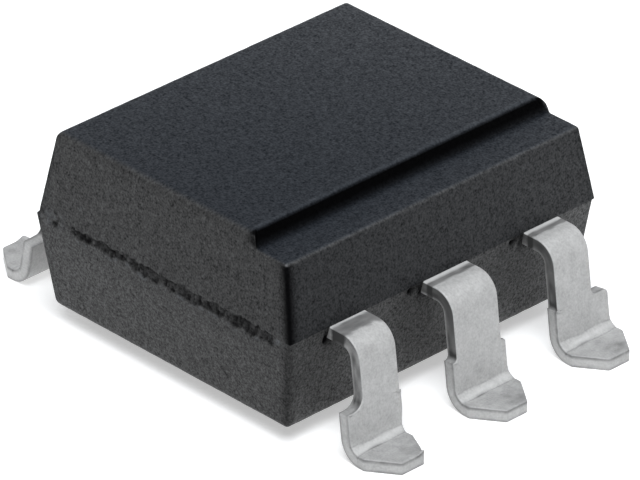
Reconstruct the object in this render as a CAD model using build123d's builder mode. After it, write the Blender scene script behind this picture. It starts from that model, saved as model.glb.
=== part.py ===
from build123d import *
import os
from math import radians, tan

# Optocoupler in a six-lead surface-mount package, in millimetres.
# The origin is under the middle of the body, on the plane the six feet stand on.
# +X points across the leads to the stepped side, +Y along the lead rows, +Z up.

# Moulded body, measured at the parting line where the two mould halves meet
body_width = 6.5
body_length = 7.45
stand_off = 0.30
base_height = 1.90
cap_height = 1.70
cap_side_draft = 10.9
cap_end_draft = 6.6
base_side_draft = 7.8
base_end_draft = 6.4
mould_mismatch = 0.06
edge_radius = 0.20

# Step along the edge over leads one to three
ledge_width = 0.795
step_depth = 0.27
riser_lean = 32.0
riser_edge_radius = 0.08
ledge_edge_radius = 0.10

# Ejector pin mark in the underside
ejector_mark_diameter = 1.5
ejector_mark_depth = 0.05

# Lead strip and its two bends; the detector side is bent a little further out
lead_pitch = 2.54
lead_thickness = 0.25
emitter_root_run = 0.31
emitter_leg_lean = 7.1
detector_root_run = 0.43
detector_leg_lean = 11.0
knee_radius = 0.20
foot_radius = 0.22
foot_length = 0.965

# Widths of a lead on its way out: neck, shoulders, pad, tapered toe
centre_neck_width = 1.08
end_neck_width = 0.86
end_neck_shift = 0.18
pad_width = 1.28
shoulder_height = 0.93
shoulder_fillet = 0.12
taper_start = 0.41
toe_width = 0.50
toe_corner_radius = 0.06

# Lead frame inside the body: the emitter side is bent up, the detector side down
emitter_rise = 0.55
detector_drop = 0.60
jog_start = 1.75
jog_run = 0.50
jog_radius = 0.15
jog_land = 0.15
emitter_paddle_reach = 0.55
emitter_paddle_width = 1.30
detector_paddle_reach = 0.75
detector_paddle_width = 1.60
arm_width = 0.50
post_reach = 0.15
post_width = 0.55
post_gap = 0.30
stub_reach = 1.00
anchor_hole_diameter = 0.40

# Dies, their attach pads and the bond wires
led_size = 0.35
led_height = 0.20
detector_size = 0.80
detector_height = 0.20
attach_thickness = 0.02
attach_margin = 0.04
wire_diameter = 0.05
wire_sides = 8
ball_diameter = 0.11
ball_height = 0.03
stitch_diameter = 0.12
stitch_height = 0.02
wire_bend_radius = 0.07
led_loop = 0.14
detector_loop = 0.16
bond_pad_offset = 0.24
gel_radius = 0.42

# Light guide moulded round the dies
guide_width = 4.2
guide_length = 6.1
guide_cap_height = 0.95
guide_base_height = 0.98
guide_draft = 7.0
guide_corner_chamfer = 0.20

# Levels that follow from the sizes above
parting_z = stand_off + base_height
lead_z = parting_z - lead_thickness / 2
top_z = parting_z + cap_height
ledge_z = top_z - step_depth
body_side = body_width / 2


def drafted_half(start, rise, width, length, side_draft, end_draft):
    """Frustum on a plane: the far rectangle is smaller by the draft of each wall."""
    far_width = width - 2 * rise * tan(radians(side_draft))
    far_length = length - 2 * rise * tan(radians(end_draft))
    with BuildPart() as half:
        with BuildSketch(start):
            Rectangle(width, length)
        with BuildSketch(start.offset(rise)):
            Rectangle(far_width, far_length)
        loft(ruled=True)
    return half.part


def standing_edges(part):
    """The four leaning corner edges of a drafted half."""
    return [edge for edge in part.edges() if abs(edge.tangent_at(0.5).Z) > 0.5]


def rounded_half(start, rise, side_draft, end_draft, radius):
    """Drafted half of the body whose far edges are rounded and meet in mitred corners."""
    with BuildPart() as half:
        add(drafted_half(start, rise, body_width, body_length, side_draft, end_draft))
        far_face = half.faces().filter_by(start).sort_by_distance(start.origin)[-1]
        fillet(far_face.edges(), radius)
    return half.part


# Upper mould half: a high part up to the riser and a low part under the ledge, which meet at its foot
cap_plane = Plane.XY.offset(parting_z)
ledge_height = cap_height - step_depth
riser_foot_x = body_side - ledge_height * tan(radians(cap_side_draft)) - ledge_width
riser_top_x = riser_foot_x - step_depth * tan(radians(riser_lean))
riser_foot = (riser_foot_x, ledge_z)
far_top = (-body_width, top_z)
with BuildPart() as ledge_block:
    add(rounded_half(cap_plane, ledge_height, cap_side_draft, cap_end_draft, ledge_edge_radius))
    with BuildSketch(cap_plane):
        with Locations((riser_foot_x, 0)):
            Rectangle(body_width, 2 * body_length, align=(Align.MIN, Align.CENTER))
    extrude(amount=cap_height, mode=Mode.INTERSECT)
with BuildPart() as cap_half:
    add(rounded_half(cap_plane, cap_height, cap_side_draft, cap_end_draft, edge_radius))
    with BuildSketch(Plane.XZ):
        with BuildLine():
            FilletPolyline(far_top, (riser_top_x, top_z), riser_foot, radius=riser_edge_radius)
            Polyline(riser_foot, (riser_foot_x, parting_z), (-body_width, parting_z), far_top)
        make_face()
    extrude(amount=body_length, both=True, mode=Mode.INTERSECT)
    add(ledge_block.part)

# Lower mould half, standing a little towards -Y of the upper one
base_plane = Plane(origin=(0, -mould_mismatch, parting_z), x_dir=(1, 0, 0), z_dir=(0, 0, -1))
with BuildPart() as base_half:
    add(rounded_half(base_plane, base_height, base_side_draft, base_end_draft, edge_radius))
    with BuildSketch(Plane.XY.offset(stand_off)):
        Circle(ejector_mark_diameter / 2)
    extrude(amount=ejector_mark_depth, mode=Mode.SUBTRACT)


# Side profile of a lead, in u out of the body and w up from the middle of the strip:
# straight out, over the knee, down the leaning leg and flat along the foot.
# The taper and the end of the foot are measured from the corner of its bend, the ankle.
leg_drop = lead_z - lead_thickness / 2
knee_middle_radius = knee_radius + lead_thickness / 2
foot_middle_radius = foot_radius + lead_thickness / 2
shoulder_w = shoulder_height - lead_z
join_u = body_side - lead_thickness
up = Vector(0, 0, 1)


def row_planes(out):
    """Side, front and plan view of a lead row that leaves the body along the vector out."""
    origin = (0, 0, lead_z)
    side = Plane(origin, x_dir=out, z_dir=out.cross(up))
    front = Plane(origin, x_dir=up.cross(out), z_dir=out)
    plan = Plane(origin, x_dir=out, z_dir=up)
    return side, front, plan


def strip(path, plan):
    """Flat strip along a path of lines and arcs, wide enough for every outline cut from it."""
    section = Plane(path @ 0, x_dir=plan.y_dir, z_dir=path % 0)
    with BuildPart() as blank:
        with BuildSketch(section):
            Rectangle(2 * body_length, lead_thickness)
        sweep(path=path)
    return blank.part


def corner_radius_of(low, high):
    """Radius of the corner between neck and shoulder, limited by the width of the shoulder."""
    return min(shoulder_fillet, abs(high - low) / 2)


def lead_outside(planes, middle, neck_low, neck_high, root_run, leg_lean):
    """The part of a lead beyond the parting line: neck, shoulders, pad and tapered toe."""
    side, front, plan = planes
    pad_low = middle - pad_width / 2
    pad_high = middle + pad_width / 2
    knee_u = body_side + root_run + knee_middle_radius * tan(radians(90 - leg_lean) / 2)
    ankle_u = knee_u + leg_drop * tan(radians(leg_lean))
    taper_u = ankle_u + taper_start
    toe_u = ankle_u + foot_length
    with BuildLine(side) as route:
        FilletPolyline(
            (join_u, 0),
            (knee_u, 0),
            (ankle_u, -leg_drop),
            (toe_u, -leg_drop),
            radius=[knee_middle_radius, foot_middle_radius],
        )
    with BuildPart() as outside:
        add(strip(route.line, plan))
        with BuildSketch(front):
            with BuildLine():
                FilletPolyline(
                    (neck_low, lead_z),
                    (neck_low, shoulder_w),
                    (pad_low, shoulder_w),
                    (pad_low, -lead_z),
                    (pad_high, -lead_z),
                    (pad_high, shoulder_w),
                    (neck_high, shoulder_w),
                    (neck_high, lead_z),
                    close=True,
                    radius=[
                        0,
                        corner_radius_of(pad_low, neck_low),
                        0,
                        0,
                        0,
                        0,
                        corner_radius_of(neck_high, pad_high),
                        0,
                    ],
                )
            make_face()
        extrude(amount=toe_u, mode=Mode.INTERSECT)
        with BuildSketch(plan):
            with BuildLine():
                FilletPolyline(
                    (0, pad_low),
                    (taper_u, pad_low),
                    (toe_u, middle - toe_width / 2),
                    (toe_u, middle + toe_width / 2),
                    (taper_u, pad_high),
                    (0, pad_high),
                    close=True,
                    radius=[0, toe_corner_radius, toe_corner_radius, toe_corner_radius, toe_corner_radius, 0],
                )
            make_face()
        extrude(amount=lead_z, both=True, mode=Mode.INTERSECT)
    return outside.part


def jogged_path(side, rise, start_u):
    """Line of the strip inside the body: level, bent up or down by rise, and level to the wall."""
    with BuildLine(side) as route:
        FilletPolyline(
            (start_u, rise),
            (jog_start, rise),
            (jog_start + jog_run, 0),
            (join_u, 0),
            radius=jog_radius,
        )
    return route.line


def paddle_inside(planes, rise, neck_low, neck_high, reach, width):
    """The paddle that a die sits on, at the end of the middle lead."""
    side, front, plan = planes
    paddle_end = jog_start - jog_land
    with BuildPart() as inside:
        add(strip(jogged_path(side, rise, -reach), plan))
        with BuildSketch(plan):
            with BuildLine():
                Polyline(
                    (-reach, -width / 2),
                    (paddle_end, -width / 2),
                    (paddle_end, neck_low),
                    (join_u, neck_low),
                    (join_u, neck_high),
                    (paddle_end, neck_high),
                    (paddle_end, width / 2),
                    (-reach, width / 2),
                    close=True,
                )
            make_face()
        extrude(amount=lead_z, both=True, mode=Mode.INTERSECT)
    return inside.part


def post_inside(planes, rise, neck_outer, neck_inner, paddle_width):
    """The post that a bond wire lands on: an arm from the end lead to beside the paddle."""
    side, front, plan = planes
    towards = -1 if neck_outer > 0 else 1
    arm_end = jog_start - jog_land
    arm_start = arm_end - arm_width
    post_inner = -towards * (paddle_width / 2 + post_gap)
    post_outer = post_inner - towards * post_width
    with BuildPart() as inside:
        add(strip(jogged_path(side, rise, post_reach), plan))
        with BuildSketch(plan):
            with BuildLine():
                Polyline(
                    (join_u, neck_outer),
                    (arm_start, neck_outer),
                    (arm_start, post_outer),
                    (post_reach, post_outer),
                    (post_reach, post_inner),
                    (arm_end, post_inner),
                    (arm_end, neck_inner),
                    (join_u, neck_inner),
                    close=True,
                )
            make_face()
        extrude(amount=lead_z, both=True, mode=Mode.INTERSECT)
    return inside.part


def stub_inside(planes, neck_low, neck_high):
    """The short end of the lead that nothing is wired to, with a hole that the resin fills."""
    side, front, plan = planes
    stub_start = body_side - stub_reach
    with BuildPart() as inside:
        with BuildSketch(plan.offset(-lead_thickness / 2)):
            with BuildLine():
                Polyline(
                    (stub_start, neck_low),
                    (join_u, neck_low),
                    (join_u, neck_high),
                    (stub_start, neck_high),
                    close=True,
                )
            make_face()
            with Locations(((stub_start + join_u) / 2, (neck_low + neck_high) / 2)):
                Circle(anchor_hole_diameter / 2, mode=Mode.SUBTRACT)
        extrude(amount=lead_thickness)
    return inside.part


def neck_of(middle):
    """Low and high edge of a lead's neck: the end necks are narrower and stand nearer the middle."""
    if middle == 0:
        return -centre_neck_width / 2, centre_neck_width / 2
    centre = middle - end_neck_shift if middle > 0 else middle + end_neck_shift
    return centre - end_neck_width / 2, centre + end_neck_width / 2


# Leads one to three leave along +X, four to six along -X, counted round the body
emitter_row = row_planes(Vector(1, 0, 0))
detector_row = row_planes(Vector(-1, 0, 0))
leads = []
for row, planes in enumerate((emitter_row, detector_row)):
    for place in range(3):
        middle = (place - 1) * lead_pitch
        neck_low, neck_high = neck_of(middle)
        rise = emitter_rise if row == 0 else -detector_drop
        reach = emitter_paddle_reach if row == 0 else detector_paddle_reach
        paddle_width = emitter_paddle_width if row == 0 else detector_paddle_width
        root_run = emitter_root_run if row == 0 else detector_root_run
        leg_lean = emitter_leg_lean if row == 0 else detector_leg_lean
        if middle == 0:
            inside = paddle_inside(planes, rise, neck_low, neck_high, reach, paddle_width)
        elif row == 0 and middle > 0:
            inside = stub_inside(planes, neck_low, neck_high)
        elif middle > 0:
            inside = post_inside(planes, rise, neck_high, neck_low, paddle_width)
        else:
            inside = post_inside(planes, rise, neck_low, neck_high, paddle_width)
        with BuildPart() as lead:
            add(lead_outside(planes, middle, neck_low, neck_high, root_run, leg_lean))
            add(inside)
        lead.part.label = f"lead_{row * 3 + place + 1}"
        leads.append(lead.part)

# Dies on their attach pads: the emitter hangs under its paddle and faces the detector
emitter_face_z = lead_z + emitter_rise - lead_thickness / 2
detector_face_z = lead_z - detector_drop + lead_thickness / 2
led_face_z = emitter_face_z - attach_thickness - led_height
detector_die_face_z = detector_face_z + attach_thickness + detector_height
with BuildPart() as led_attach:
    with BuildSketch(Plane.XY.offset(emitter_face_z)):
        Rectangle(led_size + 2 * attach_margin, led_size + 2 * attach_margin)
    extrude(amount=-attach_thickness)
with BuildPart() as led_die:
    with BuildSketch(Plane.XY.offset(led_face_z)):
        Rectangle(led_size, led_size)
    extrude(amount=led_height)
with BuildPart() as detector_attach:
    with BuildSketch(Plane.XY.offset(detector_face_z)):
        Rectangle(detector_size + 2 * attach_margin, detector_size + 2 * attach_margin)
    extrude(amount=attach_thickness)
with BuildPart() as detector_die:
    with BuildSketch(Plane.XY.offset(detector_die_face_z)):
        Rectangle(detector_size, detector_size)
    extrude(amount=-detector_height)


def bond_wire(die_point, post_point, rise):
    """Ball on the die, wire looped away from it by rise, and a flattened stitch on the post."""
    ahead = 1 if rise > 0 else -1
    die_x, die_y, die_z = die_point
    post_x, post_y, post_z = post_point
    with BuildLine() as route:
        FilletPolyline(
            (die_x, die_y, die_z + ahead * ball_height / 2),
            (die_x, die_y, die_z + rise),
            (post_x, post_y, post_z + rise),
            (post_x, post_y, post_z + ahead * stitch_height / 2),
            radius=wire_bend_radius,
        )
    with BuildPart() as wire:
        with BuildSketch(Plane(route.line @ 0, z_dir=route.line % 0)):
            RegularPolygon(wire_diameter / 2, wire_sides)
        sweep(path=route.line)
        with BuildSketch(Plane(die_point, z_dir=up * ahead)):
            Circle(ball_diameter / 2)
        extrude(amount=ball_height)
        with BuildSketch(Plane(post_point, z_dir=up * ahead)):
            Circle(stitch_diameter / 2)
        extrude(amount=stitch_height)
    return wire.part


# The wires land on the middle of the posts, at the same distance from the mid line as the post itself
post_x = (post_reach + jog_start - jog_land - arm_width) / 2
emitter_post_y = emitter_paddle_width / 2 + post_gap + post_width / 2
detector_post_y = detector_paddle_width / 2 + post_gap + post_width / 2
led_wire = bond_wire((0, 0, led_face_z), (post_x, -emitter_post_y, emitter_face_z), -led_loop)
emitter_wire = bond_wire(
    (-bond_pad_offset, bond_pad_offset, detector_die_face_z),
    (-post_x, detector_post_y, detector_face_z),
    detector_loop,
)
base_wire = bond_wire(
    (-bond_pad_offset, -bond_pad_offset, detector_die_face_z),
    (-post_x, -detector_post_y, detector_face_z),
    detector_loop,
)
led_wire.label = "led_wire"
emitter_wire.label = "emitter_wire"
base_wire.label = "base_wire"

# Soft silicone drop that hangs from the paddle over the emitter die
with BuildPart() as dome_form:
    with Locations((0, 0, emitter_face_z)):
        Sphere(gel_radius)
    split(bisect_by=Plane.XY.offset(emitter_face_z), keep=Keep.BOTTOM)
with BuildPart() as silicone_dome:
    add(dome_form.part)
    for held in (led_attach.part, led_die.part, led_wire):
        add(held, mode=Mode.SUBTRACT)

# Light guide: translucent resin moulded round both dies and the inner ends of the leads
with BuildPart() as guide_form:
    add(
        drafted_half(
            Plane.XY.offset(parting_z), guide_cap_height, guide_width, guide_length, guide_draft, guide_draft
        )
    )
    add(
        drafted_half(
            Plane((0, 0, parting_z), x_dir=(1, 0, 0), z_dir=(0, 0, -1)),
            guide_base_height,
            guide_width,
            guide_length,
            guide_draft,
            guide_draft,
        )
    )
    chamfer(standing_edges(guide_form.part), guide_corner_chamfer)

with BuildPart() as light_guide:
    add(guide_form.part)
    for held in (*leads, dome_form.part, detector_attach.part, detector_die.part):
        add(held, mode=Mode.SUBTRACT)
    for wire in (led_wire, emitter_wire, base_wire):
        add(wire, mode=Mode.SUBTRACT)

# Outer moulding: both mould halves in one, with the light guide and the leads inside it
with BuildPart() as outer_mould:
    add(cap_half.part)
    add(base_half.part)
    add(guide_form.part, mode=Mode.SUBTRACT)
    for held in leads:
        add(held, mode=Mode.SUBTRACT)

outer_mould.part.label = "outer_mould"
light_guide.part.label = "light_guide"
silicone_dome.part.label = "silicone_dome"
led_die.part.label = "led_die"
led_attach.part.label = "led_attach"
detector_die.part.label = "detector_die"
detector_attach.part.label = "detector_attach"

os.makedirs("parts", exist_ok=True)
export_step(outer_mould.part, "parts/outer_mould.step")
export_step(light_guide.part, "parts/light_guide.step")
export_step(silicone_dome.part, "parts/silicone_dome.step")
export_step(led_die.part, "parts/led_die.step")
export_step(led_attach.part, "parts/led_attach.step")
export_step(detector_die.part, "parts/detector_die.step")
export_step(detector_attach.part, "parts/detector_attach.step")
export_step(led_wire, "parts/led_wire.step")
export_step(emitter_wire, "parts/emitter_wire.step")
export_step(base_wire, "parts/base_wire.step")
for lead in leads:
    export_step(lead, f"parts/{lead.label}.step")
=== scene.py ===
import math

import bpy
import numpy as np
from mathutils import Matrix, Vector
from bpy.props import FloatProperty, FloatVectorProperty, PointerProperty


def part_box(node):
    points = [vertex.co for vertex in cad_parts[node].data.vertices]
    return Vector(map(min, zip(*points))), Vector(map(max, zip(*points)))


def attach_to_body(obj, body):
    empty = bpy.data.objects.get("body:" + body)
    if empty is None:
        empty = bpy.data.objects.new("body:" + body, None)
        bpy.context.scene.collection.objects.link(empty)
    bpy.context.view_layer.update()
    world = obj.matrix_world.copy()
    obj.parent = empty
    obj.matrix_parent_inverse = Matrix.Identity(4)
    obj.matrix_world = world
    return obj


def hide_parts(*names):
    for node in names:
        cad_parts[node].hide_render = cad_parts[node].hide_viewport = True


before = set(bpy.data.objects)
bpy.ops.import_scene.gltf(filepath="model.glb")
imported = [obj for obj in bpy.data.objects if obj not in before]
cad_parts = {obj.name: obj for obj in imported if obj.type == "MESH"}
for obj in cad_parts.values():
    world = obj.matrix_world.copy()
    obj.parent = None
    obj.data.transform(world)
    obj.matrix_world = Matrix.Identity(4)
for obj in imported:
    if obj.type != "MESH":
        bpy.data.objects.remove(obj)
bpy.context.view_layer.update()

bl_info = {
    "name": "Optocoupler package",
    "version": (1, 0, 0),
    "blender": (4, 5, 0),
    "location": "3D View > Sidebar > Package",
    "description": "Builds the moulding, the tinned leads and the finishes of a six-lead optocoupler",
    "category": "Add Mesh",
}

MM = 0.001
HALF_TURN = math.pi
QUARTER_TURN = math.pi / 2

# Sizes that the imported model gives: the moulding and its parting line
mould_low, mould_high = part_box("outer_mould")
parting_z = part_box("lead_3")[1].z
body_half_width = mould_high.x
body_half_length = mould_high.y
mould_mismatch = -(mould_low.y + mould_high.y)


def size(name, millimetres, description):
    """A length that a user can change, written in millimetres and kept in metres."""
    return FloatProperty(
        name=name, description=description, default=millimetres * MM, unit="LENGTH", precision=6
    )


def angle(name, degrees, description):
    """An angle that a user can change, written in degrees."""
    return FloatProperty(
        name=name, description=description, default=math.radians(degrees), subtype="ANGLE", unit="ROTATION"
    )


def colour(name, value, description):
    """A linear RGB colour that a user can change."""
    return FloatVectorProperty(
        name=name, description=description, default=value, subtype="COLOR", size=3, min=0.0, max=1.0
    )


def amount(name, value, description):
    """A plain number that a user can change."""
    return FloatProperty(name=name, description=description, default=value, min=0.0, precision=3)


class MouldingSettings(bpy.types.PropertyGroup):
    """Sizes and colours of the black outer moulding."""

    cap_side_draft: angle("Cap side draft", 10.9, "Lean of the upper walls over the leads")
    cap_end_draft: angle("Cap end draft", 6.6, "Lean of the two upper end walls")
    base_side_draft: angle("Base side draft", 7.8, "Lean of the lower walls under the leads")
    base_end_draft: angle("Base end draft", 6.4, "Lean of the two lower end walls")
    corner_radius: size("Corner radius", 0.06, "Radius of the four standing corners")
    edge_radius: size("Edge radius", 0.20, "Radius round the underside and the top face")
    ledge_edge_radius: size("Ledge edge radius", 0.10, "Radius round the step")
    riser_edge_radius: size("Riser edge radius", 0.08, "Radius between the top face and the riser")
    ledge_width: size("Ledge width", 0.795, "Width of the step along leads one to three")
    step_depth: size("Step depth", 0.27, "Depth of the step below the top face")
    riser_lean: angle("Riser lean", 32.0, "Lean of the face between the step and the top")
    riser_foot_radius: size("Riser foot radius", 0.03, "Hollow radius at the foot of the riser")
    ejector_radius: size("Ejector mark radius", 0.75, "Radius of the round mark in the underside")
    ejector_depth: size("Ejector mark depth", 0.05, "Depth of the round mark in the underside")
    flash_depth: size("Broken flash", 0.145, "Height of the broken lip below the parting line on the -Y end")
    pit_aside: size("Pit distance", 0.30, "Distance from a lead's neck to the pit beside it")
    # The darker skin along the corners is painted shade.
    corner_shade: size("Corner shade", 0.14, "Width of the darker skin along the standing corners")
    resin: colour("Resin", (0.0170, 0.0172, 0.0176), "Colour of the black epoxy")
    # Painted cool light: a bluer colour on the upper faces, where the cool light falls from above.
    cool_lit_resin: colour("Cool lit resin", (0.0120, 0.0150, 0.0200), "Bluer cast of the epoxy's upper faces")
    # Paler colour of the chips, and of the painted highlights on the riser's top edge and the ledge's outer
    # edge.
    chipped_and_highlit_resin: colour("Chipped and highlit resin", (0.064, 0.071, 0.082), "Paler epoxy on chips and worn edges")
    # Painted shade: the colour laid in the broken lip, pits and dents, along the corners, on the riser and
    # beside the leads.
    shaded_resin: colour("Painted shade resin", (0.0015, 0.0015, 0.0017), "Darker epoxy in pits and on broken flash")


class LeadSettings(bpy.types.PropertyGroup):
    """Sizes and colours of the six tinned leads."""

    pitch: size("Pitch", 2.54, "Distance between neighbouring leads")
    thickness: size("Thickness", 0.25, "Thickness of the strip")
    pad_width: size("Pad width", 1.28, "Width of a lead below its shoulders")
    centre_neck_width: size("Centre neck width", 1.08, "Width of the middle leads at the moulding")
    end_neck_width: size("End neck width", 0.86, "Width of the outer leads at the moulding")
    end_neck_shift: size("End neck shift", 0.18, "How far the outer necks stand towards the middle")
    knee_radius: size("Knee radius", 0.20, "Inner radius of the upper bend")
    foot_radius: size("Foot radius", 0.22, "Inner radius of the bend at the foot")
    foot_length: size("Foot length", 0.965, "From the corner of the foot's bend to the toe")
    emitter_lean: angle("Lean on the step side", 7.1, "Lean of legs one to three")
    detector_lean: angle("Lean on the other side", 11.0, "Lean of legs four to six")
    shoulder_height: size("Shoulder height", 0.93, "Height of the shoulders above the board")
    shoulder_fillet: size("Shoulder fillet", 0.12, "Radius between neck and shoulder")
    shoulder_crown: size("Shoulder corner", 0.015, "Radius of a crisp shoulder's own corner")
    worn_crown: size("Worn shoulder corner", 0.10, "Radius of the worn corners of leads two and three")
    worn_fillet: size("Worn fillet", 0.26, "Radius between neck and outer shoulder of lead one")
    taper_start: size("Taper start", 0.41, "From the corner of the foot's bend to the start of the taper")
    toe_width: size("Toe width", 0.50, "Width of the toe's end")
    toe_corner: size("Toe corner", 0.06, "Radius of the corners of the toe")
    jog_start: size("Jog start", 1.75, "Where the strip inside the moulding starts to bend")
    jog_run: size("Jog run", 0.50, "Length of the slanted stretch inside the moulding")
    jog_radius: size("Jog radius", 0.15, "Radius of the two bends inside the moulding")
    jog_land: size("Jog land", 0.15, "Level stretch between paddle and bend")
    arm_width: size("Arm width", 0.50, "Width of the arm that carries a bond post")
    post_width: size("Post width", 0.55, "Width of a bond post")
    post_gap: size("Post gap", 0.30, "Gap between a bond post and the paddle beside it")
    rollover: size("Rolled edge", 0.030, "Radius of the edge that the punch drew in")
    burr: size("Burr edge", 0.012, "Radius of the edge that the punch left")
    tin: colour("Tin", (0.470, 0.470, 0.468), "Colour of the matt tin")
    # Paler colour for the painted highlights on the knee and the bend's facet, the bright root line and paler
    # patches.
    bright_tin: colour("Paler and highlit tin", (0.62, 0.62, 0.617), "Paler tin on rubbed creases and burrs")
    # Darker colour for the painted shade on the neck's sides and in the creases, and for darker bands,
    # patches and lines.
    dull_and_shaded_tin: colour("Dull and shaded tin", (0.055, 0.055, 0.055), "Darker tin on sheared sides and smears")


class InsideSettings(bpy.types.PropertyGroup):
    """Colours of the pieces sealed in the moulding."""

    guide: colour("Light guide", (0.84, 0.83, 0.78), "Colour of the translucent inner moulding")
    gel: colour("Silicone", (0.90, 0.92, 0.94), "Colour of the drop over the emitter")
    emitter: colour("Emitter crystal", (0.20, 0.17, 0.20), "Colour of the infrared emitter")
    silicon: colour("Silicon", (0.12, 0.13, 0.17), "Colour of the phototransistor")
    attach: colour("Die attach", (0.60, 0.60, 0.62), "Colour of the silver-filled epoxy")
    gold: colour("Gold", (0.83, 0.60, 0.22), "Colour of the bond wires")


class StageSettings(bpy.types.PropertyGroup):
    """Camera, floor, lamp and the light of the room."""

    azimuth: angle("Azimuth", 46.51, "Direction of the camera round the package")
    elevation: angle("Elevation", 29.879, "Height of the camera above the horizon")
    roll: angle("Roll", -0.162, "Turn of the camera about its own axis")
    distance: size("Distance", 144.195, "Distance from the camera to the point it looks at")
    lens: FloatProperty(
        name="Lens", description="Focal length on a 36 mm sensor, in millimetres", default=458.254, min=1.0
    )
    aim_x: size("Aim X", 0.2194, "Point the camera looks at, across the leads")
    aim_y: size("Aim Y", -0.1408, "Point the camera looks at, along the leads")
    aim_z: size("Aim Z", 1.6242, "Height of the point the camera looks at")
    floor_radius: size("Floor radius", 400.0, "Radius of the round pale floor")
    floor_colour: colour("Floor", (0.80, 0.80, 0.80), "Colour of the pale floor")
    # The floor's fall from its pale colour to this rim colour round the package is a painted pool of light.
    floor_rim_colour: colour("Floor rim", (0.14, 0.14, 0.14), "Colour of the floor away from the package")
    pool_radius: size("Pale pool", 26.0, "Radius over which the floor falls off to its rim's colour")
    table_light: amount("Table light", 0.70, "Strength of the light that the pale pool itself gives")
    shade_x: size("Shade X", 9.0, "Middle of the less lit stretch of floor, across the leads")
    shade_y: size("Shade Y", -10.0, "Middle of the less lit stretch of floor, along the leads")
    background_glow: amount("Background glow", 0.45, "Strength of the floor's own glow for background rays")
    lamp_x: size("Lamp X", 90.0, "Place of the soft lamp, across the leads")
    lamp_y: size("Lamp Y", -80.0, "Place of the soft lamp, along the leads")
    lamp_z: size("Lamp Z", 275.0, "Height of the soft lamp")
    lamp_side: size("Lamp side", 200.0, "Side of the square soft lamp")
    lamp_light: amount("Lamp light", 13.0, "Strength of the soft lamp, as the light it sheds on white")
    room_light: amount("Room light", 0.08, "Strength of the light from all round")
    panel_light: amount("Sky panel light", 0.72, "Strength of the broad light behind the package")
    panel_azimuth: angle("Sky panel azimuth", 113.0, "Direction of the broad light, from +X towards +Y")
    panel_elevation: angle("Sky panel elevation", 41.0, "Height of the broad light above the horizon")


SETTINGS = {
    "package_moulding": MouldingSettings,
    "package_leads": LeadSettings,
    "package_inside": InsideSettings,
    "package_stage": StageSettings,
}


def noise(points, cell, seed):
    """Smooth value noise from -1 to 1.

    Each corner of a cubic lattice holds a hashed random value. A point takes the eight values round it,
    weighted along each axis by t*t*(3 - 2t), where t is its place between two lattice planes."""
    scaled = np.asarray(points, float).reshape(-1, 3) / cell
    low = np.floor(scaled).astype(np.int64)
    part = scaled - low
    weight = part * part * (3 - 2 * part)
    total = np.zeros(len(low))
    for corner in np.ndindex(2, 2, 2):
        at = low + np.array(corner)
        mixed = (at[:, 0] * 73856093) ^ (at[:, 1] * 19349663) ^ (at[:, 2] * 83492791) ^ (seed * 15485863)
        mixed = ((mixed ^ (mixed >> 13)) * 1274126177) & 0xFFFFFFFF
        mixed = ((mixed ^ (mixed >> 15)) * 2246822519) & 0xFFFFFFFF
        value = ((mixed >> 8) & 0xFFFF) / 32767.5 - 1
        total += value * np.prod(np.where(np.array(corner) == 1, weight, 1 - weight), axis=1)
    return total


def mm(*values):
    """Lengths in metres from millimetres."""
    return tuple(value * MM for value in values)


def smooth_step(value, low, high):
    """0 below low, 1 above high, and t*t*(3 - 2t) between them."""
    t = np.clip((value - low) / (high - low), 0, 1)
    return t * t * (3 - 2 * t)


def bell(value, middle, width):
    """Gaussian exp(-((value - middle) / width)^2)."""
    return np.exp(-(((value - middle) / width) ** 2))


def band(value, rise, fall):
    """1 between two soft edges: a smooth step over the span rise, and one back over the span fall."""
    return smooth_step(value, *rise) * (1 - smooth_step(value, *fall))


def spot(first, second, middle, width):
    """Soft oval spot: the product of a bell of the first value and a bell of the second."""
    return bell(first, middle[0], width[0]) * bell(second, middle[1], width[1])


def rounded_run(corners, radii, counts, arc_steps):
    """Points along straight runs joined by arcs.

    An arc of radius r at a corner that turns by a starts and ends r * tan(a / 2) from the corner, and its
    points are the centre plus r times the unit vector that turns evenly from one end to the other.
    counts gives the points on each run, and radii has one value for each inner corner."""
    corners = [np.array(corner, float) for corner in corners]
    pieces = []
    start = corners[0]
    for index, radius in enumerate(radii):
        before, at, after = corners[index : index + 3]
        arriving = (at - before) / np.linalg.norm(at - before)
        leaving = (after - at) / np.linalg.norm(after - at)
        cross = arriving[0] * leaving[1] - arriving[1] * leaving[0]
        turn = math.atan2(cross, float(arriving @ leaving))
        setback = radius * math.tan(abs(turn) / 2)
        arc_start = at - setback * arriving
        pieces.append(np.linspace(start, arc_start, counts[index], endpoint=False))
        side = math.copysign(1.0, turn)
        normal = side * np.array([-arriving[1], arriving[0]])
        centre = arc_start + radius * normal
        angles = np.linspace(0, turn, arc_steps, endpoint=False)[:, None]
        spoke = -normal
        turned = np.array([-spoke[1], spoke[0]])
        pieces.append(centre + radius * (np.cos(angles) * spoke + np.sin(angles) * turned))
        start = at + setback * leaving
    pieces.append(np.linspace(start, corners[-1], counts[-1]))
    return np.concatenate(pieces)


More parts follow.
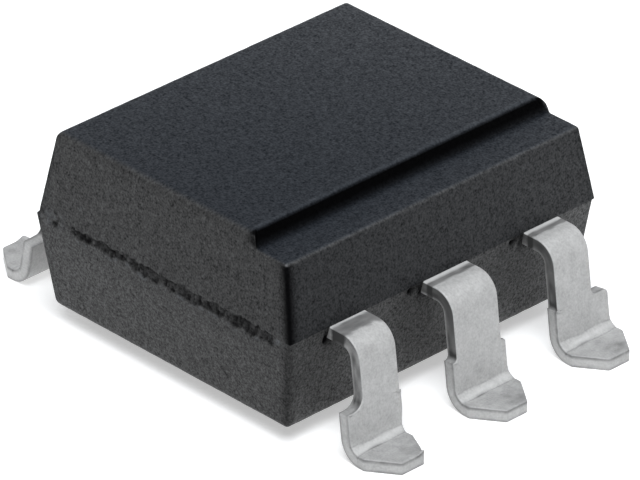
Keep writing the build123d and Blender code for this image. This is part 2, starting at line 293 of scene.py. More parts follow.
def make_piece(name, points, quads, masks):
    """Mesh object at the origin from arrays of points and quads, with a float mask for each point."""
    mesh = bpy.data.meshes.new(name)
    mesh.vertices.add(len(points))
    mesh.vertices.foreach_set("co", points.astype(np.float32).ravel())
    mesh.loops.add(quads.size)
    mesh.loops.foreach_set("vertex_index", quads.astype(np.int32).ravel())
    mesh.polygons.add(len(quads))
    mesh.polygons.foreach_set("loop_start", np.arange(0, quads.size, 4, dtype=np.int32))
    mesh.polygons.foreach_set("use_smooth", np.ones(len(quads), bool))
    for mask_name, values in masks.items():
        attribute = mesh.attributes.new(mask_name, "FLOAT", "POINT")
        attribute.data.foreach_set("value", np.clip(values, 0, 1).astype(np.float32))
    mesh.update(calc_edges=True)
    mesh.validate()
    piece = bpy.data.objects.new(name, mesh)
    bpy.context.scene.collection.objects.link(piece)
    return piece


def strip_quads(first, second):
    """Quads between two closed rings of vertex numbers of the same length."""
    return np.stack([first, np.roll(first, -1), np.roll(second, -1), second], axis=1)


def grid_quads(numbers):
    """Quads of a grid of vertex numbers, wound from the first axis to the second."""
    corners = (numbers[:-1, :-1], numbers[1:, :-1], numbers[1:, 1:], numbers[:-1, 1:])
    return np.stack([corner.ravel() for corner in corners], axis=1)


def grid_rim(numbers):
    """Vertex numbers round the rim of a grid: up the first axis, up the second and back."""
    return np.concatenate([numbers[:-1, 0], numbers[-1, :-1], numbers[:0:-1, -1], numbers[0, :0:-1]])


def shell_quads(shape, ring_count, downwards):
    """Quads of a closed surface made of rings round a grid's rim, closed by two faces of that grid.

    Its points are numbered ring by ring, then over the inside of the face that closes the first ring, then
    over the inside of the face that closes the last one. The rings go upwards or downwards."""
    inner_shape = (shape[0] - 2, shape[1] - 2)
    inside = math.prod(inner_shape)
    rim = grid_rim(np.arange(math.prod(shape)).reshape(shape))
    ring = np.arange(len(rim))
    quads = []
    for level in range(ring_count - 1):
        pair = (ring + level * len(rim), ring + (level + 1) * len(rim))
        quads.append(strip_quads(*(pair[::-1] if downwards else pair)))
    for face, closed_ring in enumerate((0, ring_count - 1)):
        numbers = np.zeros(shape, int)
        numbers[1:-1, 1:-1] = ring_count * len(rim) + face * inside + np.arange(inside).reshape(inner_shape)
        numbers.reshape(-1)[rim] = ring + closed_ring * len(rim)
        face_quads = grid_quads(numbers)
        faces_up = (face == 0) == downwards
        quads.append(face_quads if faces_up else face_quads[:, ::-1])
    return np.concatenate(quads)


# The moulding

# Counts of the moulding's lines and rings, and how far under the parting line its fine rings begin and end
CORNER_CELLS = 4
ROUNDING_RINGS = 9
PROFILE_COUNTS = (138, 7, 20)
PROFILE_ARC_STEPS = 7
COARSE_LINES = 84
FINE_ZONE = 0.36 * MM
SEAM_GAP = 0.004 * MM

# Depth of the seam along both rows of leads
SEAM_DEPTH = 0.004 * MM

# How matt the side and end walls of each half are, and the top
CAP_MATT = (0.68, 0.46)
BASE_MATT = (0.05, 0.33)
TOP_MATT = 0.74


def drafts(settings, upper):
    """Drafts of the side walls and of the end walls of one half."""
    if upper:
        return settings.cap_side_draft, settings.cap_end_draft
    return settings.base_side_draft, settings.base_end_draft


def half_shift(upper):
    """How far one half stands towards +Y: the lower one is off by the mismatch."""
    return 0.0 if upper else -mould_mismatch


def half_sides(settings, upper, level, edge, drop, rise):
    """Half width and half length of a ring that stands the height drop inside a level face.

    A wall with the draft d reaches A - h tan(d) where the level face would cut it, h away from the parting
    line. Its rounding of radius r touches it at the depth r (1 - sin(d)). Deeper than that the wall stands
    drop * tan(d) outside that line, and above it the arc stands r cos(rise) - r (1 - sin(d)) / cos(d)."""
    height = np.abs(level - parting_z)
    rounding_error = 1e-9
    sides = []
    for reach, draft in zip((body_half_width, body_half_length), drafts(settings, upper)):
        touch = edge * (1 - math.sin(draft))
        arc = edge * np.cos(rise) - touch / math.cos(draft)
        offset = np.where(drop >= touch - rounding_error, drop * math.tan(draft), arc)
        sides.append(reach - height * math.tan(draft) + offset - settings.corner_radius)
    return sides


def cap_edge(settings, level):
    """Radius round the upper half at a level: the ledge's below the riser, the top's above it."""
    share = smooth_step(level, mould_high.z - settings.step_depth, mould_high.z)
    return settings.ledge_edge_radius + (settings.edge_radius - settings.ledge_edge_radius) * share


def face_half_width(settings, level):
    """Half width of the level part of the upper half, without its roundings."""
    return half_sides(settings, True, level, cap_edge(settings, level), 0.0, QUARTER_TURN)[0]


def riser_line(settings):
    """Riser seen along the leads' rows: x of its top edge, x of its foot and z of the ledge."""
    ledge = mould_high.z - settings.step_depth
    reach = body_half_width - (ledge - parting_z) * math.tan(settings.cap_side_draft)
    foot = reach - settings.ledge_width
    return foot - settings.step_depth * math.tan(settings.riser_lean), foot, ledge


def cap_profile(settings):
    """Rounded line of the top face, riser and ledge, seen along the leads' rows, as (x, z) points."""
    top = mould_high.z
    riser_top, riser_foot, ledge = riser_line(settings)
    corners = [
        (-face_half_width(settings, top), top),
        (riser_top, top),
        (riser_foot, ledge),
        (face_half_width(settings, ledge), ledge),
    ]
    radii = [settings.riser_edge_radius, settings.riser_foot_radius]
    return rounded_run(corners, radii, PROFILE_COUNTS, PROFILE_ARC_STEPS)


def pit_places(settings, leads):
    """Middle of each lead, with its pit's distance aside of the neck and down from the parting line."""
    near, far = settings.pit_aside / 6, settings.pit_aside
    return (-leads.pitch, near, 0.26 * MM), (0.0, far, 0.08 * MM), (leads.pitch, 0.9 * far, 0.10 * MM)


def row_lines(settings, leads):
    """Lines across the moulding from -1 to 1, close together at the leads' roots and the pits beside them."""
    half = body_half_length - settings.corner_radius
    places = pit_places(settings, leads)
    roots = np.array([0.0] + [edge for middle, aside, down in places for edge in neck_edges(leads, middle)])
    pits = np.array([neck_edges(leads, middle)[0] - aside for middle, aside, down in places[1:]])
    fine = [np.linspace(mark - 0.13 * MM, mark + 0.03 * MM, 7) for mark in (*roots, *-roots)]
    fine += [np.linspace(mark - 0.06 * MM, mark + 0.06 * MM, 5) for mark in (*pits, *-pits)]
    fine = np.concatenate(fine)
    coarse = np.linspace(-half, half, COARSE_LINES)
    away = np.abs(coarse[:, None] - fine[None, :]).min(axis=1) > 0.03 * MM
    lines = np.unique(np.concatenate([fine, coarse[away], [-half, half]]).round(7))
    return lines / half


def plan_grid(columns, rows):
    """Plan of the moulding as a grid of (centre share x, centre share y, arc x, arc y).

    Inside the corner centres the shares run over the columns and rows and the arc part is nothing. In a
    corner square with sides a and b from 0 to 1 the arc part is (a sqrt(1 - b^2/2), b sqrt(1 - a^2/2)),
    which takes the square to a quarter disc."""
    out = np.linspace(0, 1, CORNER_CELLS + 1)[1:]
    ends = np.ones(CORNER_CELLS)
    shares = [np.concatenate([-ends, inner, ends]) for inner in (columns, rows)]
    steps = [np.concatenate([-out[::-1], np.zeros(len(inner)), out]) for inner in (columns, rows)]
    cx, cy = np.meshgrid(*shares, indexing="ij")
    ax, ay = np.meshgrid(*steps, indexing="ij")
    return np.stack([cx, cy, ax * np.sqrt(1 - ay**2 / 2), ay * np.sqrt(1 - ax**2 / 2)], axis=-1)


def plan_points(settings, plan, upper, level, edge, drop, rise):
    """Points of the plan, or of its rim, at the height drop inside a level face of one half."""
    cx, cy, ax, ay = np.moveaxis(plan, -1, 0)
    half_x, half_y = half_sides(settings, upper, level, edge, drop, rise)
    x = cx * half_x + settings.corner_radius * ax
    y = cy * half_y + settings.corner_radius * ay + half_shift(upper)
    z = level - drop if upper else level + drop
    return np.stack([x, y, z + 0 * x], axis=-1)


def moulding_rings(settings, levels, plan_rim):
    """Rings of the moulding from the underside to the top, as points and outward directions.

    levels gives the height of the upper face over each point of the rim. Every ring follows the plan's rim
    at its own half width and half length."""
    arc = plan_rim[:, 2:]
    side = np.column_stack([arc / np.hypot(*arc.T)[:, None], np.zeros(len(arc))])
    rings = []

    def add_ring(upper, level, edge, drop, rise):
        """Adds the ring at the height drop inside a level face, which looks outwards at the angle rise."""
        points = plan_points(settings, plan_rim, upper, level, edge, drop, rise)
        tilt = math.sin(rise) if upper else -math.sin(rise)
        rings.append((points, math.cos(rise) * side + np.array([0, 0, tilt])))

    floor = mould_low.z
    edge = settings.edge_radius
    for rise in np.linspace(QUARTER_TURN, settings.base_side_draft, ROUNDING_RINGS):
        add_ring(False, floor, edge, edge * (1 - math.sin(rise)), rise)
    coarse_walls = np.linspace(floor + edge, parting_z - FINE_ZONE, 14, endpoint=False)
    fine_walls = np.linspace(parting_z - FINE_ZONE, parting_z - SEAM_GAP, 19)
    for z in (*coarse_walls, *fine_walls):
        add_ring(False, floor, edge, z - floor, settings.base_side_draft)
    edge = cap_edge(settings, levels)
    touch = edge * (1 - math.sin(settings.cap_end_draft))
    height = levels - parting_z
    fine_shares = np.linspace(0.997, 0.90, 7, endpoint=False)
    coarse_shares = np.linspace(0.90, 0.0, 14)
    for share in (*fine_shares, *coarse_shares):
        add_ring(True, levels, edge, touch + share * (height - touch), settings.cap_end_draft)
    for rise in np.linspace(settings.cap_end_draft, QUARTER_TURN, ROUNDING_RINGS)[1:]:
        add_ring(True, levels, edge, edge * (1 - math.sin(rise)), rise)
    return rings


def moulding_surface(settings, leads):
    """Closed surface of the moulding, as points, outward directions and quads.

    A plan grid with quarter-disc corners covers the underside and the top, whose height follows the
    profile of ledge, riser and top. Rings of the plan's rim, moved in by the draft of each wall and by
    each rounding, stand between the two."""
    profile = cap_profile(settings)
    columns = profile[:, 0] / face_half_width(settings, profile[:, 1])
    plan = plan_grid(columns, row_lines(settings, leads))
    column_z = np.pad(profile[:, 1], CORNER_CELLS, mode="edge")
    wide, deep = plan.shape[:2]
    rim = grid_rim(np.arange(wide * deep).reshape(wide, deep))
    parts = moulding_rings(settings, column_z[rim // deep], plan.reshape(-1, 4)[rim])
    quads = shell_quads((wide, deep), len(parts), downwards=False)
    inner = plan[1:-1, 1:-1]
    top = column_z[1:-1, None] + 0 * inner[..., 0]
    underside = np.full_like(top, mould_low.z)
    for upper, level in ((False, underside), (True, top)):
        edge = cap_edge(settings, level) if upper else settings.edge_radius
        points = plan_points(settings, inner, upper, level, edge, 0.0, QUARTER_TURN).reshape(-1, 3)
        parts.append((points, np.tile([0, 0, 1.0 if upper else -1.0], (len(points), 1))))
    points, outward = (np.concatenate(arrays) for arrays in zip(*parts))
    return points, outward, quads


class Skin:
    """The moulding's points while wear is pressed into them, with their depth and masks.

    x, y, z and below, the distance under the parting line, stay those of the unworn surface."""

    def __init__(self, points, outward):
        self.points, self.outward = points, outward
        self.x, self.y, self.z = points.T
        self.below = parting_z - self.z
        self.upper = self.z > parting_z
        self.on_end = smooth_step(-outward[:, 1], 0.6, 0.9)
        self.wall = 1 - smooth_step(np.abs(outward[:, 2]), 0.3, 0.8)
        self.depth = np.zeros(len(points))
        self.masks = {name: np.zeros(len(points)) for name in ("dark", "pale", "matt", "cool")}


def roughen_skin(skin):
    """Slight unevenness all over, as value noise in two sizes."""
    for height, cell, seed in ((0.0022 * MM, 0.16 * MM, 1), (0.0012 * MM, 0.07 * MM, 2)):
        skin.depth += height * (1 + noise(skin.points, cell, seed))


def blend_halves(skin):
    """Moves the lower half's -Y end to the upper half's at the parting line.

    The shift is the mismatch there and falls evenly to nothing at the depth blend_height."""
    blend_height = 0.40 * MM
    share = (skin.below > 0) * np.clip(1 - skin.below / blend_height, 0, 1)
    skin.points = skin.points + np.outer(skin.on_end * share * mould_mismatch, [0, 1, 0])


def break_lip(skin, settings):
    """Broken lip of flash along the -Y end, from just over the parting line down to a ragged edge.

    Value noise along x moves both of its edges, and crumbs of finer noise set its depth and its painted
    shade.
    Beside it are pale chips along its rim and near the front corner, lumps at its far end that are paler in
    places and carry painted shade in others, and specks."""
    x, below, on_end, points = skin.x, skin.below, skin.on_end, skin.points
    along = points * [1, 0, 0]
    ragged = 0.30 * noise(along, 0.45 * MM, 3) + 0.32 * noise(along, 0.12 * MM, 4)
    low_edge = settings.flash_depth * (1.1 + 0.12 * x / MM + ragged)
    high_edge = -0.045 * MM * (1 + 0.8 * noise(along, 0.09 * MM, 12))
    high_band = (high_edge - 0.015 * MM, high_edge + 0.015 * MM)
    low_band = (low_edge - 0.02 * MM, low_edge + 0.015 * MM)
    lip = band(x, mm(-2.55, -2.25), mm(2.72, 2.95)) * band(below, high_band, low_band)
    lone_hole = spot(x, below, mm(-2.80, 0.09), mm(0.09, 0.05))
    broken = on_end * np.maximum(lip, lone_hole)
    crumbs = 0.75 * noise(points * [1, 1, 0.6], 0.042 * MM, 5) + 0.35 * noise(points, 0.10 * MM, 9)
    skin.depth += broken * 0.030 * MM * (0.7 + 0.9 * crumbs)
    # Painted shade in the broken lip.
    skin.masks["dark"] += broken * np.clip(0.66 + 0.50 * crumbs, 0, 1)

    rim_chips = smooth_step(noise(points, 0.10 * MM, 6), 0.0, 0.6)
    rim_chips *= bell(below, low_edge + 0.035 * MM, 0.03 * MM)
    rim_chips *= 1 - smooth_step(np.abs(x), 2.0 * MM, 3.4 * MM)
    front_chips = smooth_step(noise(points, 0.08 * MM, 8), -0.1, 0.5)
    front_chips *= spot(x, below, mm(2.95, 0.02), mm(0.20, 0.11))
    lumps = spot(x, below, mm(-2.90, 0.02), mm(0.32, 0.16)) * noise(points, 0.09 * MM, 13)
    chips = on_end * (0.45 * rim_chips + 0.6 * front_chips + 0.7 * np.clip(lumps, 0, 1))
    skin.depth += 0.010 * MM * chips * noise(points, 0.05 * MM, 10)
    skin.masks["pale"] += chips
    # Painted shade in the dents among the lumps.
    skin.masks["dark"] += on_end * 1.2 * np.clip(-lumps, 0, 1)
    for place in (mm(-2.18, 2.69), mm(-1.30, 2.41)):
        skin.masks["pale"] += 0.8 * on_end * spot(x, skin.z, place, mm(0.022, 0.022))


def shade_corners(skin, settings):
    """Painted shade along the standing corners, strongest on the front one's upper half.

    A point's distance from a corner is how far it stands inside the side wall plus how far it stands inside
    the end wall, and the shade is a bell of that distance."""
    height = np.abs(skin.below)
    distances = []
    for upper in (True, False):
        side_draft, end_draft = drafts(settings, upper)
        inside_side = body_half_width - height * math.tan(side_draft) - np.abs(skin.x)
        inside_end = body_half_length - height * math.tan(end_draft) - np.abs(skin.y - half_shift(upper))
        distances.append(inside_side + inside_end)
    to_corner = np.where(skin.upper, *distances)
    strength = np.where(skin.upper, 0.95, 0.45) * np.where((skin.x > 0) & (skin.y < 0), 1.0, 0.2)
    # Painted shade along the corners.
    skin.masks["dark"] += skin.wall * bell(to_corner, 0.02 * MM, settings.corner_shade) * strength


def shade_riser(skin, settings):
    """Painted shade on the riser that fades out over the ledge, between the riser's top edge and the ledge's
    outer edge, which carry painted highlights.
    """
    riser_top, riser_foot, ledge = riser_line(settings)
    side, end, up = skin.outward.T
    shade_start = riser_top + 0.05 * MM
    shade_end = riser_foot + 0.22 * MM
    hollow = band(skin.x, (riser_top, shade_start), (shade_start, shade_end))
    # Painted shade over the riser, fading out over the ledge, and along the riser's end.
    skin.masks["dark"] += 1.1 * smooth_step(up, 0.6, 0.9) * hollow
    riser_end = smooth_step(-end, 0.3, 0.6) * (skin.z > ledge)
    skin.masks["dark"] += 0.7 * riser_end * bell(skin.x, riser_foot - 0.05 * MM, 0.14 * MM)
    top_edge = smooth_step(up, 0.9, 1) * bell(skin.x, riser_top - 0.025 * MM, 0.035 * MM)
    ledge_edge = bell(side, 0.5, 0.3) * bell(skin.z, ledge - 0.03 * MM, 0.06 * MM) * (up > 0.3)
    # Painted highlights along the riser's top edge and the ledge's outer edge, broken up by noise.
    highlight_variation = 0.6 + 0.4 * noise(skin.points, 0.12 * MM, 14)
    skin.masks["pale"] += 0.42 * highlight_variation * (top_edge + ledge_edge)


def press_roots(skin, settings, leads):
    """Seam along both rows, and a pit beside each lead's root, darkened by painted shade, with a painted
    shadow from it up to the lead.
    """
    below = skin.below
    crumbs = 1.1 + 0.5 * noise(skin.points, 0.07 * MM, 15)
    for out in (1, -1):
        on_side = smooth_step(out * skin.outward[:, 0], 0.6, 0.9)
        skin.depth += SEAM_DEPTH * on_side * bell(below, 0.0, 0.02 * MM)
        for middle, aside, down in pit_places(settings, leads):
            from_lead = out * skin.y - neck_edges(leads, middle)[0]
            pit = spot(from_lead, below, (-aside, down), mm(0.07, 0.06))
            pit += 0.55 * spot(from_lead, below, mm(-0.04, 0.20), mm(0.09, 0.12))
            pit = on_side * np.clip(pit * crumbs, 0, 1)
            painted_shadow = smooth_step(from_lead, -aside, -aside + 0.05 * MM) * (from_lead < 0)
            painted_shadow *= on_side * bell(below, 0.04 * MM, 0.06 * MM)
            skin.depth += 0.05 * MM * pit
            # Painted shade in the pits and a painted shadow between each pit and its lead.
            skin.masks["dark"] += 1.3 * pit + 0.45 * painted_shadow


def press_ejector_mark(skin, settings):
    """Round shallow mark of the ejector in the underside."""
    radius = settings.ejector_radius
    inside = 1 - smooth_step(np.hypot(skin.x, skin.y), radius - 0.05 * MM, radius + 0.01 * MM)
    skin.depth += settings.ejector_depth * inside * smooth_step(-skin.outward[:, 2], 0.8, 0.95)


def dull_skin_and_paint_cool_light(skin):
    """Matter finish on the top and the upper walls, smoother away from the front corner, and a painted cool
    light on the top and the upper side walls.
    """
    from_front = np.hypot(skin.x - mould_high.x, skin.y - mould_low.y) / (2 * body_half_length)
    side, end, up = skin.outward.T
    flat_up = smooth_step(up, 0.6, 1.0)
    walls = np.abs(np.array([side, end])) * skin.wall
    matt = np.where(skin.upper, CAP_MATT @ walls, BASE_MATT @ walls) * (1.12 - 0.28 * from_front)
    matt += TOP_MATT * flat_up * (1.11 - 0.33 * from_front**2)
    matt += 0.25 * bell(up, 0.55, 0.25) * (end < -0.3)
    skin.masks["matt"] += matt
    # Painted cool light on the top and the upper side walls.
    skin.masks["cool"] += flat_up + 0.25 * walls[0] * skin.upper


def wear_and_paint_light_on_moulding(settings, leads, points, outward):
    """Presses flash, pits, seam and ejector mark into the surface, and marks its chips and its painted shade,
    highlights and cool light.

    Every depth is a product of smooth steps and bells of the place, roughened by value noise, and moves a
    point against its outward direction. Returns the points and the masks."""
    skin = Skin(points, outward)
    roughen_skin(skin)
    blend_halves(skin)
    break_lip(skin, settings)
    shade_corners(skin, settings)
    shade_riser(skin, settings)
    press_roots(skin, settings, leads)
    press_ejector_mark(skin, settings)
    dull_skin_and_paint_cool_light(skin)
    return skin.points - outward * skin.depth[:, None], skin.masks


# The leads

# Points on each run and bend of a strip's side view, cells across a lead, and spacing along its edges
RUN_STEPS = 400
BEND_STEPS = 200
ROW_CELLS = 28
EDGE_SPACING = 0.035 * MM

# Slope of a strip, in radians, under which it counts as straight
STRAIGHT = 0.02

# Lengths of the darker bands beside the roots of leads one to six
ROOT_BANDS = mm(0.33, 0.135, 0.13, 0.12, 0.14, 0.12)


def neck_edges(settings, middle):
    """Low and high edge of a neck: the outer necks are narrower and stand nearer the middle."""
    if middle == 0:
        return -settings.centre_neck_width / 2, settings.centre_neck_width / 2
    centre = middle - math.copysign(settings.end_neck_shift, middle)
    return centre - settings.end_neck_width / 2, centre + settings.end_neck_width / 2


def local_box(node, out):
    """Box of a lead seen along its own row: u out of the moulding, v along the row, z up."""
    low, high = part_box(node)
    corners = np.array([[out * low.x, out * low.y, low.z], [out * high.x, out * high.y, high.z]])
    return corners.min(axis=0), corners.max(axis=0)


class BentStrip:
    """Side view of a strip: where a distance along its middle line lies, and which way it points."""

    def __init__(self, corners, radii):
        line = rounded_run(corners, radii, [RUN_STEPS] * (len(corners) - 1), BEND_STEPS)
        steps = np.hypot(*np.diff(line, axis=0).T)
        self.along = np.concatenate([[0], np.cumsum(steps)])
        self.u, self.z = line.T
        self.slope = np.unwrap(np.arctan2(np.gradient(self.z, self.along), np.gradient(self.u, self.along)))

    def at_u(self, u):
        """Distance along the strip where it passes u, on the stretch inside the moulding and the foot."""
        return float(np.interp(u, self.u, self.along))

    def at_height(self, z):
        """Distance along the strip where the leg comes down through the height z."""
        leg = self.u > body_half_width
        return float(np.interp(-z, -self.z[leg], self.along[leg]))

    def foot_bend(self):
        """Distances along the strip where the bend of the foot starts and ends."""
        turning = (self.u > body_half_width) & (self.z < parting_z / 2)
        turning &= (self.slope < -STRAIGHT) & (self.slope > self.slope.min() + STRAIGHT)
        return float(self.along[turning].min()), float(self.along[turning].max())

    def bend(self, s, y, n):
        """Point of the flat strip at s along, y across and n off the middle, after bending.

        It is the middle line at s plus n times the normal (-sin a, cos a) of its slope a."""
        slope = np.interp(s, self.along, self.slope)
        u = np.interp(s, self.along, self.u) - n * np.sin(slope)
        z = np.interp(s, self.along, self.z) + n * np.cos(slope)
        return np.stack([u, y, z], axis=-1)


class LeadPlan:
    """One lead in its row's own directions: its place, its middle, its ends, its neck and its side view."""

    def __init__(self, settings, number):
        self.number = number
        self.out = 1 if number <= 3 else -1
        self.place = (number - 1) % 3 - 1
        self.middle = self.place * settings.pitch
        low, high = local_box(f"lead_{number}", self.out)
        self.inner_end, self.toe = low[0], high[0]
        self.paddle_half = local_box("lead_2" if self.out > 0 else "lead_5", self.out)[1][1]
        self.stub = self.out > 0 and self.place > 0
        self.neck = neck_edges(settings, self.middle)
        self.strip = self.side_view(settings)

    def side_view(self, settings):
        """Strip that leaves the moulding at the parting line, comes down its leaning leg and ends at the toe.

        All but the stub start at their die's level inside the moulding and jog to the parting line."""
        half = settings.thickness / 2
        middle_z = parting_z - half
        lean = settings.emitter_lean if self.out > 0 else settings.detector_lean
        ankle = self.toe - settings.foot_length
        knee = ankle - (middle_z - half) * math.tan(lean)
        corners = [(knee, middle_z), (ankle, half), (self.toe, half)]
        bends = [settings.knee_radius + half, settings.foot_radius + half]
        if self.stub:
            return BentStrip([(self.inner_end, middle_z)] + corners, bends)
        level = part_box("led_attach")[1].z + half
        if self.out < 0:
            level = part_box("detector_attach")[0].z - half
        jog_end = (settings.jog_start + settings.jog_run, middle_z)
        inside = [(self.inner_end, level), (settings.jog_start, level), jog_end]
        return BentStrip(inside + corners, [settings.jog_radius, settings.jog_radius] + bends)


def inner_corners(settings, plan):
    """Corners of the low and high edge of a lead inside the moulding, from its inner end outwards.

    A middle lead carries a paddle, an outer one a post on an arm, and the stub only its own end."""
    low, high = plan.neck
    start = plan.strip.at_u(plan.inner_end)
    if plan.stub:
        return [(start, low)], [(start, high)]
    arm_end = plan.strip.at_u(settings.jog_start - settings.jog_land)
    if plan.place == 0:
        half = plan.paddle_half
        return (
            [(start, -half), (arm_end, -half), (arm_end, low)],
            [(start, half), (arm_end, half), (arm_end, high)],
        )
    arm_start = plan.strip.at_u(settings.jog_start - settings.jog_land - settings.arm_width)
    near = plan.paddle_half + settings.post_gap
    far = near + settings.post_width
    if plan.place < 0:
        return (
            [(start, -far), (arm_start, -far), (arm_start, low)],
            [(start, -near), (arm_end, -near), (arm_end, high)],
        )
    return (
        [(start, near), (arm_end, near), (arm_end, low)],
        [(start, far), (arm_start, far), (arm_start, high)],
    )


def shoulder_radii(settings, number):
    """Radius of the hollow above and of the corner of a lead's low and high shoulder."""
    crisp = (settings.shoulder_fillet, settings.shoulder_crown)
    worn = {
        1: ((settings.worn_fillet, settings.shoulder_crown), crisp),
        2: (crisp, (settings.worn_crown / 2, settings.worn_crown / 2)),
        3: (crisp, (settings.shoulder_fillet, settings.worn_crown)),
    }
    return worn.get(number, (crisp, crisp))


def blank_edges(settings, plan):
    """Low and high edge of the flat blank as arrays of (s, y), with matching points on both."""
    shoulder = plan.strip.at_height(settings.shoulder_height)
    taper = plan.strip.at_u(plan.toe - settings.foot_length + settings.taper_start)
    end = plan.strip.at_u(plan.toe)
    tight = 0.012 * MM
    edges = []
    sides = zip((-1, 1), inner_corners(settings, plan), plan.neck, shoulder_radii(settings, plan.number))
    for away, inside, neck_y, (hollow, crown) in sides:
        pad_y = plan.middle + away * settings.pad_width / 2
        toe_y = plan.middle + away * settings.toe_width / 2
        step = abs(pad_y - neck_y)
        corners = inside + [
            (shoulder, neck_y),
            (shoulder, pad_y),
            (taper, pad_y),
            (end, toe_y),
            (end, toe_y - away * 2 * settings.toe_corner),
        ]
        radii = [tight] * (len(inside) - 1)
        radii += [min(hollow, 0.8 * step), min(crown, 0.48 * step)]
        radii += [settings.toe_corner, settings.toe_corner]
        edges.append((corners, radii))
    lengths = [[math.dist(a, b) for a, b in zip(corners[:-1], corners[1:])] for corners, radii in edges]
    counts = [max(3, math.ceil(max(pair) / EDGE_SPACING)) for pair in zip(*lengths)]
    return [rounded_run(corners, radii, counts, 5) for corners, radii in edges]


def blank_rows(low, high):
    """Rows of points from the low to the high edge of the blank.

    Close to the edges a row follows their points. Away from them it keeps an even place along s, which is
    the mean of its two ends smoothed over its neighbours."""
    share = np.linspace(0, 1, ROW_CELLS + 1)
    near_edge = 1 - smooth_step(np.minimum(share, 1 - share), 0.0, 0.25)
    rows = low[:, None, :] + (high - low)[:, None, :] * share[None, :, None]
    reach = 11
    window = np.hanning(2 * reach + 3)[1:-1]
    even = np.pad((low[:, 0] + high[:, 0]) / 2, reach, mode="reflect", reflect_type="odd")
    even = np.convolve(even, window / window.sum(), "valid")
    rows[..., 0] = even[:, None] + (rows[..., 0] - even[:, None]) * near_edge[None, :]
    return rows


def edge_levels(settings):
    """Inset and height of each ring over the thickness: rolled edge, sheared side, then the burr's edge.

    On an edge of radius r, the ring at the angle a stands r (1 - sin a) inside and r (1 - cos a) off the
    face. Below its middle the sheared side breaks away inwards."""
    half = settings.thickness / 2
    roll, burr = settings.rollover, settings.burr
    break_in = 0.004 * MM
    levels = [
        (roll * (1 - math.sin(turn)), half - roll * (1 - math.cos(turn)))
        for turn in np.linspace(0, QUARTER_TURN, 6)
    ]
    levels += [(0.0, 0.30 * half), (break_in / 2, -0.15 * half), (break_in, -0.5 * half)]
    levels += [
        (break_in + burr * (1 - math.sin(turn)), burr * (1 - math.cos(turn)) - half)
        for turn in np.linspace(QUARTER_TURN, 0, 4)
    ]
    return levels


def lead_surface(settings, low_edge, high_edge):
    """Closed surface of a lead's flat blank as points (s, y, n), quads and the number of points on its rim.

    Rows of points run from the low edge to the high edge. The rim goes round the outline, and over the
    thickness it moves in at each rounded edge."""
    rows = blank_rows(low_edge, high_edge)
    deep, wide = rows.shape[:2]
    rim = grid_rim(np.arange(deep * wide).reshape(deep, wide))
    outline = rows.reshape(-1, 2)[rim]
    tangent = np.roll(outline, -1, axis=0) - np.roll(outline, 1, axis=0)
    tangent /= np.linalg.norm(tangent, axis=1)[:, None]
    inward = np.stack([-tangent[:, 1], tangent[:, 0]], axis=1)
    levels = edge_levels(settings)
    flat = [np.column_stack([outline + inward * inset, np.full(len(rim), n)]) for inset, n in levels]
    for inset, n in (levels[0], levels[-1]):
        face = rows.copy()
        face.reshape(-1, 2)[rim] = outline + inward * inset
        core = blank_rows(face[:, 0], face[:, -1])[1:-1, 1:-1].reshape(-1, 2)
        flat.append(np.column_stack([core, np.full(len(core), n)]))
    quads = shell_quads((deep, wide), len(levels), downwards=True)
    return np.concatenate(flat), quads, len(rim) * len(levels)


class Blank:
    """Points of a lead's flat blank, the marks along it that wear and painted light follow, and the masks of
    its tin.
    """

    def __init__(self, settings, plan, flat, rim_points):
        self.number, self.middle = plan.number, plan.middle
        self.flat = flat
        self.s, self.y, self.n = flat.T
        self.half = settings.thickness / 2
        self.on_rim = np.arange(len(flat)) < rim_points
        self.upper = smooth_step(self.n, 0.2 * self.half, 0.8 * self.half)
        self.root = plan.strip.at_u(body_half_width)
        self.knee = plan.strip.at_height(parting_z - 0.10 * MM)
        self.shoulder = plan.strip.at_height(settings.shoulder_height)
        self.bend_start, self.bend_end = plan.strip.foot_bend()
        self.toe = plan.strip.along[-1]
        drift = 0.03 * MM * self.noise(0.4 * MM, 60, (0, 1, 0))
        turn = self.bend_end - self.bend_start
        self.high_crease = self.bend_start + 0.30 * turn + drift
        self.low_crease = self.bend_start + 0.88 * turn - drift
        self.masks = {name: np.zeros(len(flat)) for name in ("dull_and_shade", "bright")}

    def noise(self, cell, seed, stretch=(1, 1, 1)):
        """Value noise over the blank with each lead's own seed, drawn out where stretch is under 1."""
        return noise(self.flat * stretch, cell, seed + self.number)


def press_blank(settings, blank):
    """Moves the blank's points off their level before it is bent.

    Creases in the foot are bells across s, the surface wavers by value noise, and at the toe lead one is
    worn in on its far side with a burr at the corner, and lead six has a corner bent up."""
    s, y = blank.s, blank.y
    upper = smooth_step(blank.n, 0, 0.1 * MM)
    outside = smooth_step(s, blank.root, blank.root + 0.05 * MM)
    press = 0.0022 * MM * (1 + blank.noise(0.11 * MM, 120, (0.6, 1, 1)))
    for crease, depth in ((blank.high_crease, 0.010 * MM), (blank.low_crease, 0.012 * MM)):
        press += depth * bell(s, crease, 0.03 * MM)
    moved = blank.flat.copy()
    moved[:, 2] -= press * upper * outside
    if blank.number == 6:
        corner = spot(s, y, (blank.toe, blank.middle - settings.toe_width / 2), mm(0.10, 0.12))
        moved[:, 2] += 0.06 * MM * corner
    if blank.number == 1:
        worn = band(s, (blank.bend_start - 0.25 * MM, blank.bend_end), (blank.bend_end, blank.toe))
        moved[:, 1] -= 0.10 * MM * worn * smooth_step(y, blank.middle, blank.middle + settings.pad_width / 2)
        corner = spot(s, y, (blank.toe, blank.middle + settings.toe_width / 2), mm(0.06, 0.06))
        moved[:, 1] += 0.035 * MM * corner
        moved[:, 2] += 0.05 * MM * corner * upper
    return moved


